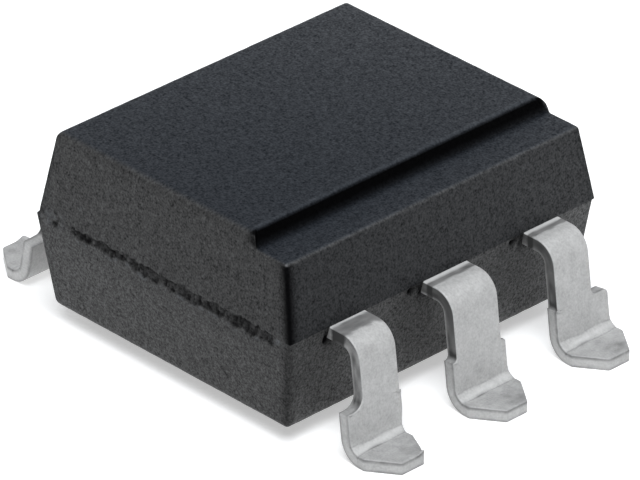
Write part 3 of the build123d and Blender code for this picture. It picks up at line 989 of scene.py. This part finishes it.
def mark_root(blank):
    """Darker band on the strip beside the moulding, behind a bright line."""
    start_gap, strength = (0.05 * MM, 0.78) if blank.number == 1 else (0.085 * MM, 0.85)
    start = blank.root + start_gap
    stop = start + ROOT_BANDS[blank.number - 1] * (1 + 0.12 * blank.noise(0.15 * MM, 20, (0, 1, 0)))
    lined = 0.8 + 0.2 * blank.noise(0.05 * MM, 30, (1, 0.3, 1))
    darker_band = band(blank.s, (start - 0.012 * MM, start + 0.012 * MM), (stop - 0.02 * MM, stop + 0.02 * MM))
    blank.masks["dull_and_shade"] += strength * lined * darker_band
    blank.masks["bright"] += 0.9 * bell(blank.s, blank.root + 0.03 * MM, 0.022 * MM)


def mark_sheared_sides(blank):
    """Painted shade on the neck's sheared sides with the burr's line below, and thin lines along the rim of
    the pad.
    """
    s, n, half = blank.s, blank.n, blank.half
    neck = 1 - smooth_step(s, blank.shoulder - 0.12 * MM, blank.shoulder + 0.02 * MM)
    streak = blank.noise(0.06 * MM, 40, (0.25, 1, 1))
    mean, spread = (0.55, 0.45) if blank.number == 1 else (0.78, 0.16)
    side = blank.on_rim * (np.abs(n) < 0.86 * half) * (s > blank.root - 0.1 * MM)
    # Painted shade on the neck's sides, streaked by noise.
    side_shade = neck * (mean + spread * streak) + 0.35 * bell(s, blank.shoulder - 0.09 * MM, 0.07 * MM)
    burr_line = blank.on_rim * neck * smooth_step(-n, 0.80 * half, 0.93 * half)
    lines = bell(n, 0.78 * half, 0.12 * half) + bell(n, -0.86 * half, 0.2 * half)
    lines *= blank.on_rim * (1 - neck) * (0.7 + 0.3 * blank.noise(0.12 * MM, 50))
    blank.masks["dull_and_shade"] += side * side_shade + 0.3 * burr_line * (1 + 0.6 * streak) + 0.6 * lines


def mark_foot(blank):
    """Painted shade in the creases and a painted highlight on a pressed facet in the bend of the foot, and a
    darker flat with a darker patch near the toe.
    """
    s, upper, high, low = blank.s, blank.upper, blank.high_crease, blank.low_crease
    across = (blank.y - blank.middle) / (0.55 * MM)
    broken = 0.5 + 0.5 * blank.noise(0.22 * MM, 70)
    # Painted shade along the two creases.
    creases = 0.40 * bell(s, high, 0.020 * MM) * broken
    creases += 0.50 * bell(s, low, 0.022 * MM) * (0.3 + 0.7 * broken)
    creases += 0.30 * spot(s, across, (low, -0.35), (0.06 * MM, 0.3))
    facet = bell(s, (high + low) / 2 - 0.05 * MM * across, 0.075 * MM) * np.clip(1.1 - 0.7 * across**2, 0, 1)
    # Painted highlight on the facet between the creases.
    blank.masks["bright"] += 0.55 * upper * facet * (0.75 + 0.25 * blank.noise(0.09 * MM, 80))
    foot = upper * smooth_step(s, low, low + 0.12 * MM)
    toe_patch = spot(s, blank.y, (blank.toe - 0.22 * MM, blank.middle + 0.16 * MM), mm(0.17, 0.22))
    toe_patch *= np.clip(0.7 + 0.8 * blank.noise(0.10 * MM, 90), 0, 1)
    toe_patch_strength = 0.12 if blank.number == 6 else 0.42
    flat_shade = 0.15 + 0.08 * blank.noise(0.12 * MM, 85) + toe_patch_strength * toe_patch
    blank.masks["dull_and_shade"] += upper * creases + foot * flat_shade


def mark_patches(blank):
    """Painted highlight on the knee, and cloudy patches."""
    # Painted highlight on the knee.
    blank.masks["bright"] += 0.55 * blank.upper * bell(blank.s, blank.knee, 0.20 * MM)
    blank.masks["dull_and_shade"] += 0.08 * smooth_step(blank.noise(0.2 * MM, 110), 0.0, 0.8)
    blank.masks["bright"] += 0.15 * smooth_step(blank.noise(0.15 * MM, 100), 0.0, 0.8)


# Materials

# Part of the grain's mottle that finishes use, from its dark to its pale end
MOTTLE_RANGE = (0.3, 0.7)


def add_node(tree, kind, values=None, **options):
    """New node with its options set, and its inputs set to values or fed by other nodes' outputs."""
    node = tree.nodes.new(kind)
    for name, option in options.items():
        setattr(node, name, option)
    for name, value in (values or {}).items():
        if isinstance(value, bpy.types.NodeSocket):
            tree.links.new(value, node.inputs[name])
        else:
            node.inputs[name].default_value = value
    return node


def blend(tree, factor, first, second):
    """Colour that goes from first to second with the factor."""
    return add_node(tree, "ShaderNodeMix", {0: factor, 6: first, 7: second}, data_type="RGBA").outputs[2]


def mix_values(tree, factor, first, second):
    """Value that goes from first to second with the factor."""
    return add_node(tree, "ShaderNodeMix", {0: factor, 2: first, 3: second}).outputs[0]


def remap(tree, value, source, target=(0.0, 1.0), interpolation="LINEAR"):
    """Takes the range source of a value to the range target."""
    values = dict(zip(("From Min", "From Max", "To Min", "To Max"), (*source, *target)), Value=value)
    return add_node(tree, "ShaderNodeMapRange", values, interpolation_type=interpolation).outputs["Result"]


def distance_between(tree, first, second):
    """Distance between two places."""
    between = add_node(tree, "ShaderNodeVectorMath", {0: first, 1: second}, operation="DISTANCE")
    return between.outputs["Value"]


def rgba(value):
    """An opaque colour for a shader's socket."""
    return (*value, 1.0)


def scaled(value, factor):
    """A colour made lighter or darker by one factor, as rgba."""
    return rgba(min(1.0, part * factor) for part in value)


def grain_group():
    """Shader group: two sizes of grain as a mottle from 0 to 1 and a bumped normal."""
    tree = bpy.data.node_groups.new("Fine grain", "ShaderNodeTree")
    tree.interface.new_socket("Vector", in_out="INPUT", socket_type="NodeSocketVector")
    for name, default in (("Fine scale", 12000.0), ("Coarse scale", 2500.0), ("Depth", 0.5)):
        socket = tree.interface.new_socket(name, in_out="INPUT", socket_type="NodeSocketFloat")
        socket.default_value = default
    tree.interface.new_socket("Mottle", in_out="OUTPUT", socket_type="NodeSocketFloat")
    tree.interface.new_socket("Normal", in_out="OUTPUT", socket_type="NodeSocketVector")
    given = add_node(tree, "NodeGroupInput").outputs
    sizes = []
    for scale, detail in (("Fine scale", 3.0), ("Coarse scale", 4.0)):
        values = {"Vector": given["Vector"], "Scale": given[scale], "Detail": detail}
        sizes.append(add_node(tree, "ShaderNodeTexNoise", values).outputs["Fac"])
    fine, coarse = sizes
    mottle = mix_values(tree, 0.35, fine, coarse)
    relief = {"Height": fine, "Strength": given["Depth"], "Distance": 0.01 * MM}
    bump = add_node(tree, "ShaderNodeBump", relief)
    add_node(tree, "NodeGroupOutput", {"Mottle": mottle, "Normal": bump.outputs["Normal"]})
    return tree


def shared_grain():
    """The grain group, made on first use."""
    return bpy.data.node_groups.get("Fine grain") or grain_group()


class Finish:
    """A material with its Principled shader, fed by grain and masks."""

    def __init__(self, name, fine, coarse, depth):
        self.material = bpy.data.materials.new(name)
        self.material.use_nodes = True
        self.tree = self.material.node_tree
        self.shader = self.tree.nodes["Principled BSDF"]
        place = add_node(self.tree, "ShaderNodeTexCoord").outputs["Object"]
        values = {"Vector": place, "Fine scale": fine, "Coarse scale": coarse, "Depth": depth}
        self.grain = add_node(self.tree, "ShaderNodeGroup", values, node_tree=shared_grain())
        self.feed("Normal", self.grain.outputs["Normal"])

    def mask(self, name):
        """Output of a mask that the mesh carries."""
        return add_node(self.tree, "ShaderNodeAttribute", attribute_name=name).outputs["Fac"]

    def blend(self, factor, first, second):
        """Colour that goes from first to second with the factor; both may be colours or sockets."""
        return blend(self.tree, factor, first, second)

    def mottle(self, low=0.0, high=1.0):
        """The grain's mottle spread over the range from low to high."""
        return remap(self.tree, self.grain.outputs["Mottle"], MOTTLE_RANGE, (low, high))

    def fade(self, value, mask, share):
        """Value times 1 - share * mask."""
        left = add_node(self.tree, "ShaderNodeMath", {0: mask, 1: -share, 2: 1.0}, operation="MULTIPLY_ADD")
        product = {0: value, 1: left.outputs[0]}
        return add_node(self.tree, "ShaderNodeMath", product, operation="MULTIPLY").outputs[0]

    def feed(self, name, output):
        """Links an output to an input of the Principled shader."""
        self.tree.links.new(output, self.shader.inputs[name])

    def set(self, **values):
        """Sets inputs of the Principled shader that are the same all over; _ stands for a space."""
        for name, value in values.items():
            self.shader.inputs[name.replace("_", " ")].default_value = value


def resin_finish(settings):
    """Black epoxy with the fine grain of its mould, painted shade where broken, in pits, along the corners
    and on the riser, paler where chipped, painted highlights on the step's edges and a painted cool light on
    the upper faces.
    """
    finish = Finish("Black epoxy", fine=26000.0, coarse=12000.0, depth=0.5)
    dark, cool = finish.mask("dark"), finish.mask("cool")
    # Painted cool light: the cooler colour on the upper faces.
    low, high = (
        finish.blend(cool, scaled(settings.resin, factor), scaled(settings.cool_lit_resin, factor))
        for factor in (0.45, 1.6)
    )
    base = finish.blend(finish.mottle(), low, high)
    # Paler chips and painted highlights.
    base = finish.blend(finish.mask("pale"), base, rgba(settings.chipped_and_highlit_resin))
    # Painted shade.
    finish.feed("Base Color", finish.blend(dark, base, rgba(settings.shaded_resin)))
    finish.feed("Roughness", finish.mottle(0.62, 0.46))
    gloss = finish.fade(finish.mottle(0.12, 1.36), dark, 0.95)
    finish.feed("Coat Weight", finish.fade(gloss, finish.mask("matt"), 0.9))
    finish.set(Coat_IOR=1.7, Coat_Roughness=0.5, Specular_IOR_Level=0.0)
    return finish.material


def tin_finish(settings):
    """Matt tin over copper, with painted shade on the sheared sides and in the creases, darker patches on the
    foot, and painted highlights on the knee and the bend's facet.
    """
    finish = Finish("Matt tin", fine=24000.0, coarse=9000.0, depth=0.35)
    base = finish.blend(finish.mottle(), scaled(settings.tin, 0.80), scaled(settings.tin, 1.20))
    # Paler tin and painted highlights.
    base = finish.blend(finish.mask("bright"), base, rgba(settings.bright_tin))
    # Painted shade and duller tin.
    finish.feed("Base Color", finish.blend(finish.mask("dull_and_shade"), base, rgba(settings.dull_and_shaded_tin)))
    finish.feed("Roughness", finish.mottle(0.66, 0.80))
    finish.set(Metallic=0.6)
    return finish.material


def plain_finish(name, value, roughness, fine=9000.0, depth=0.15, **uniform):
    """A finish of one colour with mottle and a slight grain, for a piece sealed inside."""
    finish = Finish(name, fine, 2500.0, depth)
    finish.feed("Base Color", finish.blend(finish.mottle(), scaled(value, 0.88), scaled(value, 1.06)))
    finish.feed("Roughness", finish.mottle(0.8 * roughness, 1.2 * roughness))
    finish.set(**uniform)
    return finish.material


def dress(piece, material):
    """Gives a piece one material in its first slot."""
    piece.data.materials.clear()
    piece.data.materials.append(material)


# Operators


class PACKAGE_OT_moulding(bpy.types.Operator):
    """Black outer moulding with its step, parting line, broken flash and ejector mark"""

    bl_idname = "package.moulding"
    bl_label = "Build moulding"

    def execute(self, context):
        settings = context.scene.package_moulding
        leads = context.scene.package_leads
        points, outward, quads = moulding_surface(settings, leads)
        points, masks = wear_and_paint_light_on_moulding(settings, leads, points, outward)
        piece = make_piece("moulding", points, quads, masks)
        dress(piece, resin_finish(settings))
        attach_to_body(piece, "root")
        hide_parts("outer_mould")
        return {"FINISHED"}


class PACKAGE_OT_leads(bpy.types.Operator):
    """Six stamped and bent leads of tinned copper"""

    bl_idname = "package.leads"
    bl_label = "Build leads"

    def execute(self, context):
        settings = context.scene.package_leads
        finish = tin_finish(settings)
        for number in range(1, 7):
            plan = LeadPlan(settings, number)
            flat, quads, rim_points = lead_surface(settings, *blank_edges(settings, plan))
            blank = Blank(settings, plan, flat, rim_points)
            for mark in (mark_root, mark_sheared_sides, mark_foot, mark_patches):
                mark(blank)
            points = plan.strip.bend(*press_blank(settings, blank).T) * [plan.out, plan.out, 1]
            piece = make_piece(f"tinned_lead_{number}", points, quads, blank.masks)
            dress(piece, finish)
            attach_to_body(piece, "root")
            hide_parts(f"lead_{number}")
        return {"FINISHED"}


class PACKAGE_OT_inside(bpy.types.Operator):
    """Finishes of the dies, wires, silicone and light guide inside the moulding"""

    bl_idname = "package.inside"
    bl_label = "Finish inner pieces"

    def execute(self, context):
        settings = context.scene.package_inside
        clear = {"Transmission_Weight": 0.9, "IOR": 1.41}
        attach = plain_finish("Silver epoxy", settings.attach, 0.4, fine=40000.0, depth=0.4, Metallic=1.0)
        gold = plain_finish("Drawn gold", settings.gold, 0.25, fine=40000.0, depth=0.1, Metallic=1.0)
        wearers = {
            "light_guide": plain_finish("Translucent epoxy", settings.guide, 0.5),
            "silicone_dome": plain_finish("Clear silicone", settings.gel, 0.1, depth=0.02, **clear),
            "led_die": plain_finish("Emitter crystal", settings.emitter, 0.18, fine=30000.0, depth=0.03),
            "detector_die": plain_finish("Silicon", settings.silicon, 0.12, fine=30000.0, depth=0.02),
            "led_attach": attach,
            "detector_attach": attach,
            "led_wire": gold,
            "emitter_wire": gold,
            "base_wire": gold,
        }
        for node, material in wearers.items():
            dress(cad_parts[node], material)
        return {"FINISHED"}


class PACKAGE_OT_stage(bpy.types.Operator):
    """Pale floor, room, soft lamp and camera"""

    bl_idname = "package.stage"
    bl_label = "Build stage"

    def execute(self, context):
        settings = context.scene.package_stage
        build_floor(settings)
        build_world(context.scene, settings)
        add_lamp("Top panel", settings)
        build_camera(context.scene, settings)
        context.scene.view_settings.view_transform = "Standard"
        return {"FINISHED"}


# The stage


def background_rays(tree):
    """1 for the rays that show the background: those of the camera, of gloss and through clear pieces."""
    path = add_node(tree, "ShaderNodeLightPath").outputs
    total = path["Is Camera Ray"]
    for name in ("Is Glossy Ray", "Is Transmission Ray"):
        both = add_node(tree, "ShaderNodeMath", {0: total, 1: path[name]}, operation="ADD", use_clamp=True)
        total = both.outputs[0]
    return total


def floor_material(settings):
    """Pale floor with a painted pool of light round the package that fades to a darker rim.

    Background rays see its plain colour with an even glow. All other rays meet the pool, which gives a light
    of its own that is weaker round one place in front of the package."""
    material = bpy.data.materials.new("Pale floor")
    material.use_nodes = True
    tree = material.node_tree
    shader = tree.nodes["Principled BSDF"]
    seen = background_rays(tree)
    place = add_node(tree, "ShaderNodeTexCoord").outputs["Object"]
    away = distance_between(tree, place, (0.0, 0.0, 0.0))
    pool = settings.pool_radius
    fall = remap(tree, away, (pool / 4, pool), interpolation="SMOOTHSTEP")
    pale, rim = rgba(settings.floor_colour), rgba(settings.floor_rim_colour)
    # Painted pool of light for all but background rays: pale near the package, darker towards the rim.
    tree.links.new(blend(tree, seen, blend(tree, fall, pale, rim), pale), shader.inputs["Base Color"])
    dim_share = 0.2
    dim_span = mm(5, 18)
    from_dim = distance_between(tree, place, (settings.shade_x, settings.shade_y, 0.0))
    light = (dim_share * settings.table_light, settings.table_light)
    lit = remap(tree, from_dim, dim_span, light, interpolation="SMOOTHSTEP")
    glow = mix_values(tree, seen, mix_values(tree, fall, lit, 0.0), settings.background_glow)
    tree.links.new(glow, shader.inputs["Emission Strength"])
    shader.inputs["Emission Color"].default_value = (1.0, 1.0, 1.0, 1.0)
    shader.inputs["Roughness"].default_value = 0.9
    return material


def build_floor(settings):
    """Round pale floor just under the feet: a small disc inside two wide rings."""
    count = 64
    turns = np.linspace(0, 2 * HALF_TURN, count, endpoint=False)
    depth = np.full(count, -0.001 * MM)
    radii = np.array([0.02, 0.2, 1.0]) * settings.floor_radius
    points = np.concatenate([np.column_stack([r * np.cos(turns), r * np.sin(turns), depth]) for r in radii])
    ring = np.arange(count)
    faces = [ring.tolist()]
    for level in range(len(radii) - 1):
        faces += strip_quads(ring + level * count, ring + (level + 1) * count)[:, ::-1].tolist()
    mesh = bpy.data.meshes.new("floor")
    mesh.from_pydata(points.tolist(), [], faces)
    mesh.update()
    floor = bpy.data.objects.new("floor", mesh)
    bpy.context.scene.collection.objects.link(floor)
    dress(floor, floor_material(settings))


def build_world(scene, settings):
    """Dim room with one broad cool light behind the package, white where background rays see it.

    The light is a smooth step of the cosine between a ray and the light's own direction."""
    world = bpy.data.worlds.new("Room")
    world.use_nodes = True
    scene.world = world
    tree = world.node_tree
    place = add_node(tree, "ShaderNodeTexCoord").outputs["Generated"]
    unit = add_node(tree, "ShaderNodeVectorMath", {0: place}, operation="NORMALIZE").outputs[0]
    a, e = settings.panel_azimuth, settings.panel_elevation
    aim = (math.cos(a) * math.cos(e), math.sin(a) * math.cos(e), math.sin(e))
    facing = add_node(tree, "ShaderNodeVectorMath", {0: unit, 1: aim}, operation="DOT_PRODUCT")
    soft_edge = (0.55, 0.95)
    cool_tint = (0.94, 0.99, 1.05)
    share = remap(tree, facing.outputs["Value"], soft_edge, interpolation="SMOOTHSTEP")
    room = rgba([settings.room_light] * 3)
    panel = rgba(settings.panel_light * part for part in cool_tint)
    light = blend(tree, background_rays(tree), blend(tree, share, room, panel), (1.0, 1.0, 1.0, 1.0))
    tree.links.new(light, tree.nodes["Background"].inputs["Color"])


def add_lamp(name, settings):
    """Square soft panel that looks at the origin, with the power that sheds its strength on white there."""
    lamp = bpy.data.lights.new(name, "AREA")
    lamp.shape = "SQUARE"
    lamp.size = settings.lamp_side
    place = np.array([settings.lamp_x, settings.lamp_y, settings.lamp_z])
    lamp.energy = settings.lamp_light * float(place @ place) * HALF_TURN / 4
    lamp.color = (0.98, 1.0, 1.02)
    holder = bpy.data.objects.new(name, lamp)
    bpy.context.scene.collection.objects.link(holder)
    holder.matrix_world = look_matrix(place, place / np.linalg.norm(place), 0.0)


def look_matrix(place, back, roll):
    """World matrix of an object at a place whose +Z is back and whose +X is level, then turned by roll."""
    side = np.cross([0.0, 0.0, 1.0], back)
    side /= np.linalg.norm(side)
    above = np.cross(back, side)
    right = side * math.cos(roll) + above * math.sin(roll)
    upward = above * math.cos(roll) - side * math.sin(roll)
    matrix = np.eye(4)
    matrix[:3] = np.column_stack([right, upward, back, place])
    return Matrix(matrix.tolist())


def build_camera(scene, settings):
    """Camera on a sphere round its aim.

    It looks along -(sin a cos e, -cos a cos e, sin e) for the azimuth a and the elevation e."""
    a, e = settings.azimuth, settings.elevation
    back = np.array([math.sin(a) * math.cos(e), -math.cos(a) * math.cos(e), math.sin(e)])
    place = np.array([settings.aim_x, settings.aim_y, settings.aim_z]) + back * settings.distance
    lens = bpy.data.cameras.new("Camera")
    lens.sensor_width = 36.0
    lens.lens = settings.lens
    lens.clip_start = 1 * MM
    lens.clip_end = 10.0
    camera = bpy.data.objects.new("Camera", lens)
    scene.collection.objects.link(camera)
    camera.matrix_world = look_matrix(place, back, settings.roll)
    scene.camera = camera


# The panel and the add-on


class PACKAGE_PT_panel(bpy.types.Panel):
    """Sizes, colours and build steps of the package"""

    bl_idname = "PACKAGE_PT_panel"
    bl_label = "Optocoupler package"
    bl_space_type = "VIEW_3D"
    bl_region_type = "UI"
    bl_category = "Package"

    def draw(self, context):
        layout = self.layout
        for operator in OPERATORS:
            layout.operator(operator.bl_idname)
        for name in SETTINGS:
            settings = getattr(context.scene, name)
            box = layout.box()
            for key in settings.bl_rna.properties.keys():
                if key not in ("rna_type", "name"):
                    box.prop(settings, key)


OPERATORS = (PACKAGE_OT_moulding, PACKAGE_OT_leads, PACKAGE_OT_inside, PACKAGE_OT_stage)


def register():
    for group in SETTINGS.values():
        bpy.utils.register_class(group)
    for name, group in SETTINGS.items():
        setattr(bpy.types.Scene, name, PointerProperty(type=group))
    for operator in OPERATORS:
        bpy.utils.register_class(operator)
    bpy.utils.register_class(PACKAGE_PT_panel)


def unregister():
    bpy.utils.unregister_class(PACKAGE_PT_panel)
    for operator in reversed(OPERATORS):
        bpy.utils.unregister_class(operator)
    for name in SETTINGS:
        delattr(bpy.types.Scene, name)
    for group in reversed(SETTINGS.values()):
        bpy.utils.unregister_class(group)


def main():
    """Builds every piece in order."""
    register()
    bpy.ops.package.stage()
    bpy.ops.package.moulding()
    bpy.ops.package.leads()
    bpy.ops.package.inside()


if __name__ == "__main__":
    main()
